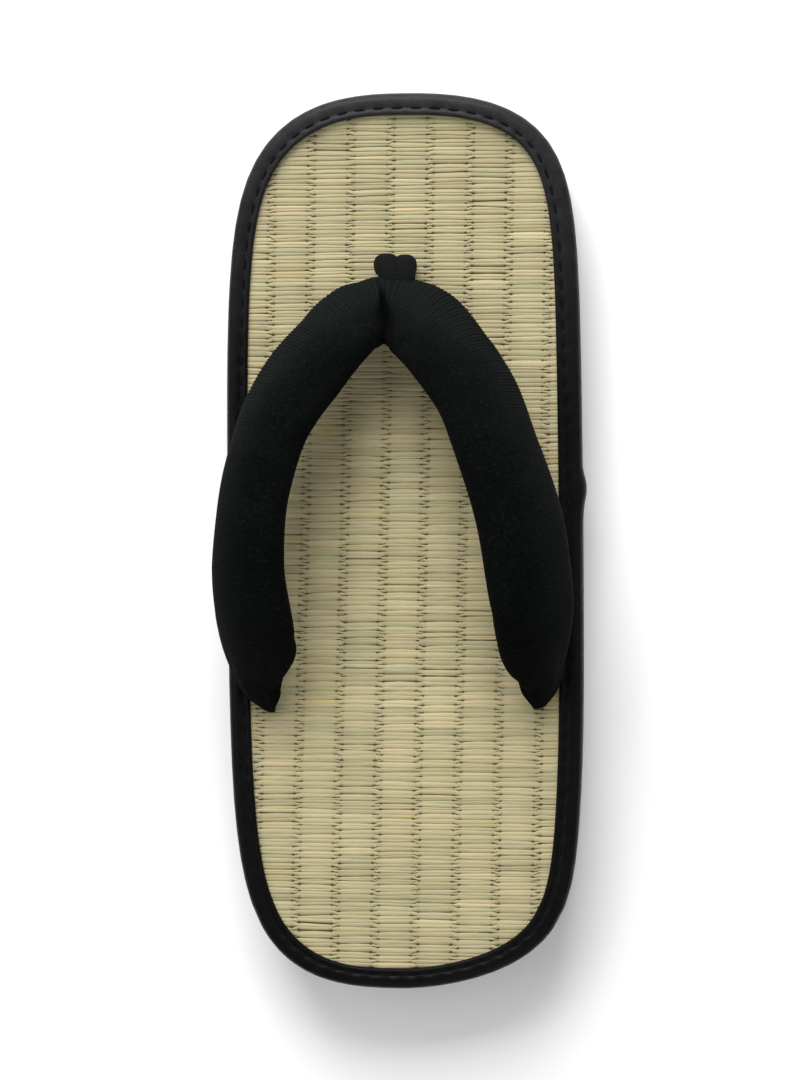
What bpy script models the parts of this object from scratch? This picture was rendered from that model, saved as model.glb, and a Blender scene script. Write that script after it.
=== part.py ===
"""A zori sandal: a moulded foam sole, a woven rush mat, a folded vinyl edge binding,
a padded V-shaped thong strap and the short cord that holds it between the toes.

Metres, +Z up, +Y towards the toe, -X the lateral side. The origin is on the floor,
under the middle of the sole. The sandal stands on two flats of its underside.
"""

import math
from collections import namedtuple

import bmesh
import bpy
from mathutils import Vector

NAME = "zori_sandal"

# Outline of the sole, seen from above
SOLE_LENGTH = 0.265
SOLE_BREADTH = 0.1066
LATERAL_WIDEST_FROM_TOE = 0.0869
MEDIAL_WIDEST_FROM_TOE = 0.1734

# Heights of the sole, up to the top of the mat
HEEL_HEIGHT = 0.0255
FOREFOOT_HEIGHT = 0.0190
TOE_SPRING = 0.0045
HEEL_LIFT = 0.0015
ARCH_RISE = 0.0015
TOE_SPRING_LENGTH = 0.060
FOREFOOT_FLAT = 0.066
HEEL_FLAT = 0.057
HEEL_LIFT_LENGTH = 0.018
SOLE_EDGE_ROUND = 0.0020
SIDE_GROOVE_WIDTH = 0.0010
SIDE_GROOVE_DEPTH = 0.0005

# Tread, cut into the two flats
TREAD_GROOVE_WIDTH = 0.0022
TREAD_GROOVE_DEPTH = 0.0012
TREAD_GROOVE_PITCH = 0.0075
TREAD_MARGIN = 0.016

# Layers at the edge
FIT_GAP = 0.0003
MAT_THICKNESS = 0.0026
BINDING_WALL = 0.0012
BINDING_DROP = 0.0072
BINDING_CROWN = 0.0019
LATERAL_FLANGE = 0.0059
MEDIAL_FLANGE = 0.0072
TOE_FLANGE = 0.0068
HEEL_FLANGE = 0.0062
LAP_FROM_TOE = 0.1185
LAP_LENGTH = 0.0185
LAP_THICKNESS = 0.0012
LAP_LIFT = 0.0006

# Holes for the cord and for the strap's ends
TOE_HOLE_FROM_TOE = 0.0515
TOE_HOLE_OFF_CENTRE = 0.0018
ARM_HOLES_FROM_HEEL = 0.0845
LATERAL_HOLE_INSET = 0.0148
MEDIAL_HOLE_INSET = 0.0141
STUB_DIAMETER = 0.0048
STUB_DEPTH = 0.0095
HOLE_FLOOR = 0.0008

# Strap
APEX_BEHIND_HOLE = 0.0130
APEX_OFF_CENTRE = 0.0042
STRAP_RISE = 0.0295
STRAP_THICKNESS = 0.0150
LATERAL_ARM_WIDTH = 0.0240
MEDIAL_ARM_WIDTH = 0.0272
LATERAL_ARM_INSET = 0.0107
MEDIAL_ARM_INSET = 0.0135
STRAP_TILT = math.radians(33)

# Toe cord
CORD_WIDTH = 0.0124
CORD_THICKNESS = 0.0078
CORD_STUB_WIDTH = 0.0082
CORD_STUB_THICKNESS = 0.0060
CORD_RISE = 0.0120
CORD_LEAN_BACK = 0.0078
CORD_LEAN_SIDE = 0.0007

# Fineness
TIP_STEPS = 21
TIP_CLUSTER = 2.6
STATION_SPACE = 0.0022
STRAP_SIDES = 18
STRAP_STEPS = 2
CORD_SIDES = 20
HOLE_SIDES = 20

HALF_LENGTH = SOLE_LENGTH / 2
HALF_BREADTH = SOLE_BREADTH / 2

# How square, round and tapered each side's curve is towards the toe and towards the heel
Curve = namedtuple("Curve", "square round taper")
Side = namedtuple("Side", "widest toe heel")
MEDIAL = Side(
    widest=HALF_LENGTH - MEDIAL_WIDEST_FROM_TOE,
    toe=Curve(12.2, 2.45, 0.053),
    heel=Curve(7.8, 1.71, 0.10),
)
LATERAL = Side(
    widest=HALF_LENGTH - LATERAL_WIDEST_FROM_TOE,
    toe=Curve(5.3, 2.55, 0.10),
    heel=Curve(9.9, 2.79, 0.10),
)

# The fold where the binding's ends lap: place along the lap, share of its thickness
Lap = namedtuple("Lap", "along proud")
LAP_TOP = 0.44
LAP_ROWS = (
    Lap(0.00, 0.00),
    Lap(0.15, 0.45),
    Lap(0.28, 1.00),
    Lap(LAP_TOP, 1.00),
    Lap(0.68, 0.25),
    Lap(1.00, 0.00),
)

# Section of the binding: share of the flange's width in from the edge, share of its crown
Fold = namedtuple("Fold", "across rise")
FLANGE_ROWS = (
    Fold(0.00, -0.70),
    Fold(0.06, 0.05),
    Fold(0.20, 0.66),
    Fold(0.42, 0.88),
    Fold(0.68, 0.72),
    Fold(0.78, 0.98),
    Fold(0.92, 0.94),
    Fold(1.00, 0.52),
)

# Arms of the strap: shares of the way back to the hole, of the reach outwards,
# of the rise over the mat, of the arm's width and of the strap's thickness, and of the tilt
Row = namedtuple("Row", "back out rise width thick tilt")
CREASE_ROW = Row(0.0, 0.0, 0.43, 0.69, 0.56, 0.30)
LATERAL_ROWS = (
    Row(0.020, 0.135, 0.45, 0.86, 0.84, 0.45),
    Row(0.046, 0.277, 0.50, 0.93, 0.94, 0.60),
    Row(0.162, 0.593, 0.68, 0.97, 1.00, 0.85),
    Row(0.264, 0.782, 0.81, 1.00, 1.00, 1.00),
    Row(0.344, 0.878, 0.90, 0.99, 1.00, 1.05),
    Row(0.435, 0.947, 0.966, 0.97, 1.00, 1.05),
    Row(0.528, 0.979, 1.00, 0.96, 0.98, 1.05),
    Row(0.655, 1.000, 0.95, 0.98, 0.95, 1.00),
    Row(0.773, 0.980, 0.76, 1.00, 0.86, 0.90),
    Row(0.860, 0.970, 0.51, 0.92, 0.72, 0.70),
    Row(0.930, 0.948, 0.27, 0.66, 0.54, 0.45),
)
MEDIAL_ROWS = (
    Row(0.018, 0.110, 0.45, 0.80, 0.84, 0.45),
    Row(0.056, 0.283, 0.51, 0.90, 0.94, 0.60),
    Row(0.117, 0.425, 0.61, 0.95, 1.00, 0.75),
    Row(0.227, 0.606, 0.75, 1.00, 1.00, 0.90),
    Row(0.354, 0.746, 0.90, 1.00, 1.00, 1.00),
    Row(0.484, 0.857, 0.983, 0.99, 1.00, 1.00),
    Row(0.604, 0.933, 1.00, 0.97, 0.97, 0.95),
    Row(0.727, 0.972, 0.88, 0.94, 0.90, 0.85),
    Row(0.797, 0.985, 0.74, 0.88, 0.82, 0.75),
    Row(0.866, 0.992, 0.53, 0.76, 0.69, 0.60),
    Row(0.930, 0.995, 0.30, 0.52, 0.53, 0.40),
)

# Toe cord: share of its rise, share of the way back under the strap, share of full section
CordRow = namedtuple("CordRow", "rise back swell")
CORD_ROWS = (
    CordRow(0.06, 0.00, 0.10),
    CordRow(0.22, -0.10, 0.65),
    CordRow(0.45, -0.06, 1.00),
    CordRow(0.68, 0.16, 0.96),
    CordRow(0.88, 0.50, 0.80),
    CordRow(1.00, 0.86, 0.55),
)


def clear_scene():
    for old in list(bpy.data.objects):
        bpy.data.objects.remove(old, do_unlink=True)


def collection(name):
    made = bpy.data.collections.new(name)
    bpy.context.scene.collection.children.link(made)
    return made


def material(name, colour, roughness):
    made = bpy.data.materials.new(name)
    made.use_nodes = True
    shader = made.node_tree.nodes["Principled BSDF"]
    shader.inputs["Base Color"].default_value = (*colour, 1.0)
    shader.inputs["Roughness"].default_value = roughness
    shader.inputs["Metallic"].default_value = 0.0
    return made


def smooth(share):
    """An even S-curve from 0 to 1."""
    share = min(max(share, 0.0), 1.0)
    return share * share * (3 - 2 * share)


# Flats, arch and toe spring, all measured back from the toe's tip or up from the heel's
FOREFOOT_FRONT = HALF_LENGTH - TOE_SPRING_LENGTH
FOREFOOT_BACK = FOREFOOT_FRONT - FOREFOOT_FLAT
HEEL_BACK = HEEL_LIFT_LENGTH - HALF_LENGTH
HEEL_FRONT = HEEL_BACK + HEEL_FLAT


def underside(y):
    """Height of the sole's lower face."""
    if y > FOREFOOT_FRONT:
        return TOE_SPRING * ((y - FOREFOOT_FRONT) / TOE_SPRING_LENGTH) ** 2
    if y < HEEL_BACK:
        return HEEL_LIFT * ((HEEL_BACK - y) / HEEL_LIFT_LENGTH) ** 2
    if HEEL_FRONT < y < FOREFOOT_BACK:
        share = (y - HEEL_FRONT) / (FOREFOOT_BACK - HEEL_FRONT)
        return ARCH_RISE * math.sin(math.pi * share) ** 2
    return 0.0


def footbed(y):
    """Height of the mat's upper face: a wedge from heel to forefoot, then the toe spring."""
    share = smooth((y - HEEL_FRONT + HEEL_FLAT / 2) / (FOREFOOT_BACK - HEEL_FRONT + HEEL_FLAT))
    wedge = HEEL_HEIGHT + (FOREFOOT_HEIGHT - HEEL_HEIGHT) * share
    spring = max(0.0, (y - FOREFOOT_FRONT) / TOE_SPRING_LENGTH)
    return wedge + TOE_SPRING * spring ** 2


def above_mat(height):
    """A height function that stays at one distance over the mat."""
    return lambda y: footbed(y) + height


def lap_station(row):
    """Where a row of the lap lies along the sole."""
    return HALF_LENGTH - LAP_FROM_TOE + LAP_LENGTH * (LAP_TOP - row.along)


def stations():
    """Places along the sole, tip to tip, crowded where the ends turn and at the lap."""
    ends = [(step / TIP_STEPS) ** TIP_CLUSTER for step in range(1, TIP_STEPS)]
    flats = [FOREFOOT_FRONT, FOREFOOT_BACK, HEEL_FRONT, HEEL_BACK]
    laps = [lap_station(row) for row in LAP_ROWS]
    middle = (FOREFOOT_BACK + HEEL_FRONT) / 2
    fixed = flats + laps + [middle]
    found = list(fixed)
    for end in ends:
        for sign in (1, -1):
            y = sign * HALF_LENGTH * (1 - end)
            if min(abs(y - other) for other in fixed) > STATION_SPACE:
                found.append(y)
    return [HALF_LENGTH] + sorted(found, reverse=True) + [-HALF_LENGTH]


STATIONS = stations()


def half_breadth(side, y):
    """How far the outline lies from the centre line on one side."""
    if y > side.widest:
        share = (y - side.widest) / (HALF_LENGTH - side.widest)
        curve = side.toe
    else:
        share = (side.widest - y) / (HALF_LENGTH + side.widest)
        curve = side.heel
    straight = HALF_BREADTH * (1 - curve.taper * share ** 2)
    return straight * max(0.0, 1 - share ** curve.square) ** (1 / curve.round)


def outline():
    """The sole's outline, from the toe's tip down the medial side and up the lateral."""
    medial = [Vector((half_breadth(MEDIAL, y), y)) for y in STATIONS]
    lateral = [Vector((-half_breadth(LATERAL, y), y)) for y in STATIONS[-2:0:-1]]
    return medial + lateral


OUTLINE = outline()


def outward(index):
    """The outline's outward direction at one of its points."""
    before = OUTLINE[index - 1]
    after = OUTLINE[(index + 1) % len(OUTLINE)]
    along = after - before
    return Vector((-along.y, along.x)).normalized()


NORMALS = [outward(index) for index in range(len(OUTLINE))]


def flange_width(normal):
    """The binding's width on top, blended between its four measured sides."""
    across = MEDIAL_FLANGE if normal.x > 0 else LATERAL_FLANGE
    ahead = TOE_FLANGE if normal.y > 0 else HEEL_FLANGE
    return across * normal.x ** 2 + ahead * normal.y ** 2


def lap_bulge(point):
    """What share of the lap's thickness the binding stands out by at one point of the edge."""
    if point.x < 0:
        return 0.0
    for row, following in zip(LAP_ROWS, LAP_ROWS[1:]):
        start, end = lap_station(row), lap_station(following)
        if end <= point.y <= start:
            share = (start - point.y) / (start - end)
            return row.proud + (following.proud - row.proud) * share
    return 0.0


def ring(inset, height):
    """A loop of points round the sole, moved in from its outline, at a height over y."""
    points = []
    for point, normal in zip(OUTLINE, NORMALS):
        place = point - normal * inset
        points.append(Vector((place.x, place.y, height(place.y))))
    return points


def binding_ring(across, rise):
    """A loop of the binding: a share of its flange in from the edge, a height over the mat."""
    points = []
    for point, normal in zip(OUTLINE, NORMALS):
        bulge = lap_bulge(point)
        inset = flange_width(normal) * across
        place = point - normal * (inset - LAP_THICKNESS * bulge * (1 - across))
        lift = LAP_LIFT * bulge * smooth(3 * across) * (1 - across ** 3)
        points.append(Vector((place.x, place.y, footbed(point.y) + rise + lift)))
    return points


def skin(mesh, rings, closed=False):
    """Join equal rings of points, each to the next, and return their vertices."""
    made = [[mesh.verts.new(point) for point in points] for points in rings]
    pairs = list(zip(made, made[1:]))
    if closed:
        pairs.append((made[-1], made[0]))
    for low, high in pairs:
        count = len(low)
        for index in range(count):
            after = (index + 1) % count
            mesh.faces.new((low[index], low[after], high[after], high[index]))
    return made


def ladder(mesh, loop):
    """Close a loop that runs round the sole with strips from side to side."""
    count = len(loop)
    for index in range(count // 2):
        left, left_next = loop[-index % count], loop[count - index - 1]
        right, right_next = loop[index], loop[index + 1]
        corners = [right, right_next, left_next, left]
        distinct = list(dict.fromkeys(corners))
        mesh.faces.new(distinct)


def finish(name, mesh, look, group, angle=35):
    """Turn a bmesh into a named object with outward faces and its material."""
    bmesh.ops.recalc_face_normals(mesh, faces=mesh.faces)
    data = bpy.data.meshes.new(name)
    mesh.to_mesh(data)
    mesh.free()
    if look:
        data.materials.append(look)
    data.shade_smooth()
    data.set_sharp_from_angle(angle=math.radians(angle))
    made = bpy.data.objects.new(name, data)
    group.objects.link(made)
    return made


def cut(target, cutter):
    modifier = target.modifiers.new(cutter.name, "BOOLEAN")
    modifier.operation = "DIFFERENCE"
    modifier.solver = "EXACT"
    modifier.object = cutter


def hide_cutter(cutter):
    cutter.hide_render = True
    cutter.display_type = "WIRE"


# Where the three holes lie
TOE_HOLE = Vector((-TOE_HOLE_OFF_CENTRE, HALF_LENGTH - TOE_HOLE_FROM_TOE))
LATERAL_HOLE = Vector((LATERAL_HOLE_INSET - HALF_BREADTH, ARM_HOLES_FROM_HEEL - HALF_LENGTH))
MEDIAL_HOLE = Vector((HALF_BREADTH - MEDIAL_HOLE_INSET, ARM_HOLES_FROM_HEEL - HALF_LENGTH))


def hole_cutter(name, place, width, length, group):
    """An upright round or oval pin that cuts one blind hole, with clearance all round."""
    deep = STUB_DEPTH + HOLE_FLOOR
    proud = MAT_THICKNESS
    mesh = bmesh.new()
    bmesh.ops.create_cone(
        mesh,
        cap_ends=True,
        segments=HOLE_SIDES,
        radius1=0.5,
        radius2=0.5,
        depth=deep + proud,
    )
    bmesh.ops.scale(mesh, vec=(width + 2 * FIT_GAP, length + 2 * FIT_GAP, 1), verts=mesh.verts)
    middle = footbed(place.y) + (proud - deep) / 2
    bmesh.ops.translate(mesh, vec=(place.x, place.y, middle), verts=mesh.verts)
    made = finish(name, mesh, None, group)
    hide_cutter(made)
    return made


def hole_cutters(group):
    return [
        hole_cutter("toe_hole", TOE_HOLE, CORD_STUB_WIDTH, CORD_STUB_THICKNESS, group),
        hole_cutter("lateral_hole", LATERAL_HOLE, STUB_DIAMETER, STUB_DIAMETER, group),
        hole_cutter("medial_hole", MEDIAL_HOLE, STUB_DIAMETER, STUB_DIAMETER, group),
    ]


def tread_cutter(group):
    """Bars across the forefoot's flat and the heel's, short of the sole's sides."""
    mesh = bmesh.new()
    for back, front in ((FOREFOOT_BACK, FOREFOOT_FRONT), (HEEL_BACK, HEEL_FRONT)):
        count = int((front - back) / TREAD_GROOVE_PITCH)
        start = (front + back - (count - 1) * TREAD_GROOVE_PITCH) / 2
        for step in range(count):
            y = start + step * TREAD_GROOVE_PITCH
            bar = bmesh.ops.create_cube(mesh, size=1)["verts"]
            length = SOLE_BREADTH - 2 * TREAD_MARGIN
            size = (length, TREAD_GROOVE_WIDTH, 2 * TREAD_GROOVE_DEPTH)
            bmesh.ops.scale(mesh, vec=size, verts=bar)
            bmesh.ops.translate(mesh, vec=(0, y, 0), verts=bar)
    made = finish("tread_grooves", mesh, None, group)
    hide_cutter(made)
    return made


def side_groove_rings():
    """Three fine grooves round the sole's side, spread over the height that shows."""
    rings = []
    for share in (0.30, 0.50, 0.70):

        def place(y, share=share, offset=0.0):
            low = underside(y) + SOLE_EDGE_ROUND
            high = footbed(y) - BINDING_DROP
            return low + (high - low) * share + offset

        half = SIDE_GROOVE_WIDTH / 2
        rings.append(ring(0.0, lambda y, at=place: at(y, offset=-half)))
        rings.append(ring(SIDE_GROOVE_DEPTH, place))
        rings.append(ring(0.0, lambda y, at=place: at(y, offset=half)))
    return rings


def build_sole(look, group, cutters):
    """The foam sole: rounded foot, grooved side, a shelf for the binding and a raised core."""
    core = BINDING_WALL + FIT_GAP
    soft = SOLE_EDGE_ROUND
    shelf = above_mat(-BINDING_DROP - FIT_GAP)
    rings = [
        ring(soft, underside),
        ring(soft * 0.3, lambda y: underside(y) + soft * 0.3),
        ring(0.0, lambda y: underside(y) + soft),
        *side_groove_rings(),
        ring(0.0, shelf),
        ring(core, shelf),
        ring(core, above_mat(-MAT_THICKNESS - FIT_GAP)),
    ]
    mesh = bmesh.new()
    made = skin(mesh, rings)
    ladder(mesh, made[0])
    ladder(mesh, made[-1])
    sole = finish("sole", mesh, look, group)
    for cutter in cutters:
        cut(sole, cutter)
    return sole


def build_mat(look, group, holes):
    """The rush mat: an even sheet on the core, its edge tucked under the binding."""
    edge = BINDING_WALL + FIT_GAP
    chamfer = MAT_THICKNESS / 6
    rings = [
        ring(edge, above_mat(-MAT_THICKNESS)),
        ring(edge, above_mat(-chamfer)),
        ring(edge + chamfer, above_mat(0.0)),
    ]
    mesh = bmesh.new()
    made = skin(mesh, rings)
    ladder(mesh, made[0])
    ladder(mesh, made[-1])
    mat = finish("rush_mat", mesh, look, group)
    for cutter in holes:
        cut(mat, cutter)
    return mat


def build_binding(look, group):
    """The binding: a strip folded over the edge, with a bead beside the mat."""
    rings = [binding_ring(0.0, -BINDING_DROP)]
    rings += [binding_ring(row.across, BINDING_CROWN * row.rise) for row in FLANGE_ROWS]
    rings.append(binding_ring(1.0, FIT_GAP))
    rings.append(ring(BINDING_WALL, above_mat(FIT_GAP)))
    rings.append(ring(BINDING_WALL, above_mat(-BINDING_DROP)))
    mesh = bmesh.new()
    skin(mesh, rings, closed=True)
    return finish("edge_binding", mesh, look, group)


# One section of the strap: centre, full width and thickness, and tilt
Section = namedtuple("Section", "centre width thick tilt")


def apex():
    return Vector((-APEX_OFF_CENTRE, TOE_HOLE.y - APEX_BEHIND_HOLE))


def arm_sections(rows, hole, width, inset):
    """Sections of one arm, from beside the crease to the bottom of its stub."""
    start = apex()
    side = 1 if hole.x > 0 else -1
    reach = side * (HALF_BREADTH - inset) - start.x
    sections = []
    for row in rows:
        x = start.x + reach * row.out
        y = start.y + (hole.y - start.y) * row.back
        centre = Vector((x, y, footbed(y) + STRAP_RISE * row.rise))
        tilt = STRAP_TILT * row.tilt
        sections.append(Section(centre, width * row.width, STRAP_THICKNESS * row.thick, tilt))
    neck = STUB_DIAMETER / 2
    for depth in (neck / 2, -neck, -STUB_DEPTH):
        centre = Vector((hole.x, hole.y, footbed(hole.y) + depth))
        sections.append(Section(centre, STUB_DIAMETER, STUB_DIAMETER, 0.0))
    return sections


def blend(values, share):
    """Catmull-Rom value between the middle two of four."""
    before, start, end, after = values
    cubic = 3 * (start - end) + after - before
    square = 2 * before - 5 * start + 4 * end - after
    slope = end - before
    return start + (slope * share + square * share ** 2 + cubic * share ** 3) * 0.5


def refine(sections):
    """Add smooth in-between sections; the stubs' straight ends stay as they are."""
    fine = []
    last = len(sections) - 1
    for index in range(last):
        fine.append(sections[index])
        if 2 <= index <= last - 3:
            four = sections[index - 1 : index + 3]
            for step in range(1, STRAP_STEPS):
                share = step / STRAP_STEPS
                fine.append(Section(*(blend(values, share) for values in zip(*four))))
    fine.append(sections[last])
    return fine


def strap_sections():
    """All sections of the strap, from the lateral stub over the apex to the medial stub."""
    start = apex()
    width = (LATERAL_ARM_WIDTH + MEDIAL_ARM_WIDTH) / 2
    crease = Section(
        Vector((start.x, start.y, footbed(start.y) + STRAP_RISE * CREASE_ROW.rise)),
        width * CREASE_ROW.width,
        STRAP_THICKNESS * CREASE_ROW.thick,
        STRAP_TILT * CREASE_ROW.tilt,
    )
    lateral = arm_sections(LATERAL_ROWS, LATERAL_HOLE, LATERAL_ARM_WIDTH, LATERAL_ARM_INSET)
    medial = arm_sections(MEDIAL_ROWS, MEDIAL_HOLE, MEDIAL_ARM_WIDTH, MEDIAL_ARM_INSET)
    return refine(lateral[::-1] + [crease] + medial)


def strap_ring(sections, index, grow):
    """Points round one section, square to the strap's run and tilted outwards."""
    section = sections[index]
    before = sections[max(index - 1, 0)].centre
    after = sections[min(index + 1, len(sections) - 1)].centre
    along = (after - before).normalized()
    flat = Vector((after.x - before.x, after.y - before.y))
    if flat.length < STUB_DIAMETER / 4:
        flat = Vector((0, 1)) if section.centre.x < 0 else Vector((0, -1))
        along = Vector((0, 0, 1 if section.centre.x < 0 else -1))
    outwards = Vector((-flat.y, flat.x, 0)).normalized()
    upwards = along.cross(outwards)
    broad = outwards * math.cos(section.tilt) - upwards * math.sin(section.tilt)
    high = upwards * math.cos(section.tilt) + outwards * math.sin(section.tilt)
    points = []
    for step in range(STRAP_SIDES):
        angle = 2 * math.pi * step / STRAP_SIDES
        points.append(
            section.centre
            + broad * (section.width / 2 + grow) * math.cos(angle)
            + high * (section.thick / 2 + grow) * math.sin(angle)
        )
    return points


def strap_mesh(grow=0.0):
    """The whole padded strap as one loft, or a grown copy for cutting a seat."""
    sections = strap_sections()
    mesh = bmesh.new()
    rings = skin(mesh, [strap_ring(sections, i, grow) for i in range(len(sections))])
    mesh.faces.new(rings[0][::-1])
    mesh.faces.new(rings[-1])
    return mesh


def build_strap(look, group):
    return finish("strap", strap_mesh(), look, group, angle=50)


def cord_ring(centre, width, thick):
    """A level two-lobed section: the cord is one cloth tube folded double."""
    points = []
    for step in range(CORD_SIDES):
        angle = 2 * math.pi * step / CORD_SIDES
        waist = 1 - 0.16 * math.exp(-((math.cos(angle) / 0.30) ** 2))
        x = width / 2 * math.cos(angle)
        y = thick / 2 * math.sin(angle) * waist
        points.append(centre + Vector((x, y, 0)))
    return points


def build_cord(look, group, seat):
    """The toe cord: up out of its hole, swelling, and back under the strap's apex."""
    base = footbed(TOE_HOLE.y)
    stub = (CORD_STUB_WIDTH, CORD_STUB_THICKNESS)
    rings = [
        cord_ring(Vector((TOE_HOLE.x, TOE_HOLE.y, base - STUB_DEPTH)), *stub),
        cord_ring(Vector((TOE_HOLE.x, TOE_HOLE.y, base)), *stub),
    ]
    for row in CORD_ROWS:
        centre = Vector((
            TOE_HOLE.x - CORD_LEAN_SIDE * row.back,
            TOE_HOLE.y - CORD_LEAN_BACK * row.back,
            base + CORD_RISE * row.rise,
        ))
        width = CORD_STUB_WIDTH + (CORD_WIDTH - CORD_STUB_WIDTH) * row.swell
        thick = CORD_STUB_THICKNESS + (CORD_THICKNESS - CORD_STUB_THICKNESS) * row.swell
        rings.append(cord_ring(centre, width, thick))
    mesh = bmesh.new()
    made = skin(mesh, rings)
    mesh.faces.new(made[0][::-1])
    mesh.faces.new(made[-1])
    cord = finish("toe_cord", mesh, look, group)
    cut(cord, seat)
    return cord


def main():
    clear_scene()
    parts = collection(NAME)
    cutters = collection("cutters")
    holes = hole_cutters(cutters)
    tread = tread_cutter(cutters)
    seat = finish("strap_seat", strap_mesh(FIT_GAP), None, cutters)
    hide_cutter(seat)
    foam = material("sole_foam", (0.035, 0.035, 0.037), 0.85)
    rush = material("rush", (0.60, 0.55, 0.34), 0.70)
    vinyl = material("binding_vinyl", (0.020, 0.020, 0.023), 0.45)
    cloth = material("strap_cloth", (0.014, 0.016, 0.016), 0.90)
    cord_cloth = material("cord_cloth", (0.016, 0.018, 0.018), 0.90)
    build_sole(foam, parts, holes + [tread])
    build_mat(rush, parts, holes)
    build_binding(vinyl, parts)
    build_strap(cloth, parts)
    build_cord(cord_cloth, parts, seat)


main()
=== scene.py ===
# %% [markdown]
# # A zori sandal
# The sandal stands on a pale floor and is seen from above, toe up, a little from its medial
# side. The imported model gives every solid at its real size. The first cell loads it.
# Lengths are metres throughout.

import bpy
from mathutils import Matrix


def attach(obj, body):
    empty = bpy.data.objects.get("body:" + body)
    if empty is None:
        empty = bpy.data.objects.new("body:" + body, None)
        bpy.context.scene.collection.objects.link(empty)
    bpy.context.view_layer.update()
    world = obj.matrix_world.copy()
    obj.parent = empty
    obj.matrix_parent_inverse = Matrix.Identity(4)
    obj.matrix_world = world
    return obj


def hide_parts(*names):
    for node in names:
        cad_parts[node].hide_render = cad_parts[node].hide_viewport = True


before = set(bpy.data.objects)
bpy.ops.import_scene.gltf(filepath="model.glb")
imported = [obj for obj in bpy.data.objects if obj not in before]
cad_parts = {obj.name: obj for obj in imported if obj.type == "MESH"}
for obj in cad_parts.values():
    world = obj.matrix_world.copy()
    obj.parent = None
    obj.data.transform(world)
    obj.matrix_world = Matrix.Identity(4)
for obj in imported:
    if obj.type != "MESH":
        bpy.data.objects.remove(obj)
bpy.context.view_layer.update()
print("solids:", ", ".join(sorted(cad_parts)))

# %% [markdown]
# ## Measuring the solids
# The finer pieces are built around the solids, so the sizes that they need are read from them.
# A solid's mesh is loose triangles, so a copy is sewn together first. The outline of the sole
# is the convex hull of its points seen from above, and a curve through those points is read
# off at even steps. Rays cast down on the mat give the height of the footbed.

# %% Sewing a copy of a solid
import math

import bmesh
import bpy
import numpy as np
from mathutils import Matrix, Vector, bvhtree, geometry

MM = 0.001
SEWING_DISTANCE = 0.01 * MM


def sewn_copy(node):
    """A solid's triangles as one joined bmesh; the solid itself isn't touched."""
    mesh = bmesh.new()
    mesh.from_mesh(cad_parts[node].data)
    bmesh.ops.remove_doubles(mesh, verts=mesh.verts, dist=SEWING_DISTANCE)
    return mesh


# %% A smooth curve through points
CURVE_PARTS = 10


def curve_through(points, closed):
    """Many points on a smooth curve through a few, which may lie unevenly far apart."""
    points = np.asarray(points, float)
    if closed:
        points = np.vstack([points[-1:], points, points[:2]])
    else:
        points = np.vstack([2 * points[:1] - points[1:2], points, 2 * points[-1:] - points[-2:-1]])
    steps = np.linalg.norm(np.diff(points[:, :3], axis=0), axis=1)[:, None]
    slopes = np.diff(points, axis=0) / steps
    bends = (slopes[:-1] * steps[1:] + slopes[1:] * steps[:-1]) / (steps[:-1] + steps[1:])
    share = np.linspace(0, 1, CURVE_PARTS, endpoint=False)[None, :, None]
    start, end, step = points[1:-2, None], points[2:-1, None], steps[1:-1, None]
    leave, arrive = bends[:-1, None] * step, bends[1:, None] * step
    made = (
        start * (2 * share**3 - 3 * share**2 + 1)
        + end * (3 * share**2 - 2 * share**3)
        + leave * (share**3 - 2 * share**2 + share)
        + arrive * (share**3 - share**2)
    )
    made = made.reshape(-1, points.shape[1])
    return made if closed else np.vstack([made, points[-2:-1]])


def even_steps(points, count, closed):
    """The same curve read off at even distances along it."""
    if closed:
        points = np.vstack([points, points[:1]])
    gone = np.linalg.norm(np.diff(points[:, :3], axis=0), axis=1)
    gone = np.concatenate([[0.0], np.cumsum(gone)])
    at = np.linspace(0, gone[-1], count, endpoint=not closed)
    return np.stack([np.interp(at, gone, column) for column in points.T], axis=1), gone[-1]


def smooth_step(value, low, high):
    """0 below low, 1 above high, and a soft rise between them."""
    share = np.clip((value - low) / (high - low), 0, 1)
    return share * share * (3 - 2 * share)


# %% The outline of the sole
EDGE_POINTS = 1080
CORNER_GAP = 0.2 * MM

sole_copy = sewn_copy("sole")
from_above = [vert.co.xy for vert in sole_copy.verts]
sole_copy.free()
hull = np.array([from_above[index] for index in geometry.convex_hull_2d(from_above)])
apart_enough = np.linalg.norm(hull - np.roll(hull, 1, axis=0), axis=1) > CORNER_GAP
hull = hull[apart_enough]
turning = np.sum(hull[:, 0] * np.roll(hull[:, 1], -1) - hull[:, 1] * np.roll(hull[:, 0], -1))
if turning < 0:
    hull = hull[::-1]
EDGE, EDGE_LENGTH = even_steps(curve_through(hull, closed=True), EDGE_POINTS, closed=True)
run = np.roll(EDGE, -1, axis=0) - np.roll(EDGE, 1, axis=0)
OUTWARD = np.stack([run[:, 1], -run[:, 0]], axis=1)
OUTWARD /= np.linalg.norm(OUTWARD, axis=1)[:, None]
TOE_TIP, HEEL_TIP = EDGE[:, 1].max(), EDGE[:, 1].min()
print(f"edge of the sole: {EDGE_LENGTH / MM:.0f} mm round, {(TOE_TIP - HEEL_TIP) / MM:.1f} mm long")


def edge_x(y, side, inset=0.0):
    """How far out the edge lies at a place along the sole; side is 1 medial, -1 lateral."""
    line = EDGE - OUTWARD * inset
    half = line[line[:, 0] * side > 0]
    order = np.argsort(half[:, 1])
    return np.interp(y, half[order, 1], half[order, 0])


# %% The height of the footbed
RAY_START = 200 * MM
# a share of the way from the middle to the medial edge, where the mat has no hole
CLEAR_OF_HOLES = 0.4
MAT_TIP = 1.6 * MM
BED_STEPS = 240


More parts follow.
